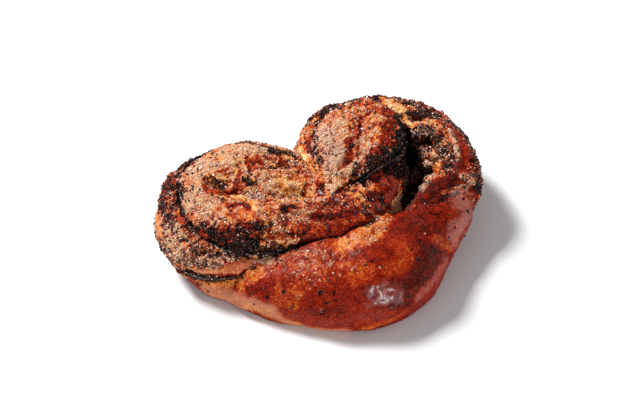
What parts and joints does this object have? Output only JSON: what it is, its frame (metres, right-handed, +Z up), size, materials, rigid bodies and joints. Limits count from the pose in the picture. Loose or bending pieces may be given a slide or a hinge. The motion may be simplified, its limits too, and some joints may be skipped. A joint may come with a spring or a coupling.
{
  "type": "poppy seed bun",
  "caption": "Heart-shaped sweet yeast bun rolled round a poppy seed filling, slit and opened out, with a browned glossy crust strewn with seeds and sugar.",
  "frame": {"origin": "centre of the bun's footprint, on the flat underside", "axes": "+X across the two lobes towards the higher lobe, +Y from the heart's tip towards its notch, +Z up"},
  "size_m": [0.1356, 0.1042, 0.0394],
  "materials": {
    "crust": "egg-washed baked crust, satin to glossy",
    "poppy_filling": "moist packed seeds, matte"
  },
  "bodies": {
    "root": {"dough": "crust", "poppy_filling_left": "poppy_filling", "poppy_filling_right": "poppy_filling", "poppy_filling_tip": "poppy_filling"}
  },
  "joints": []
}
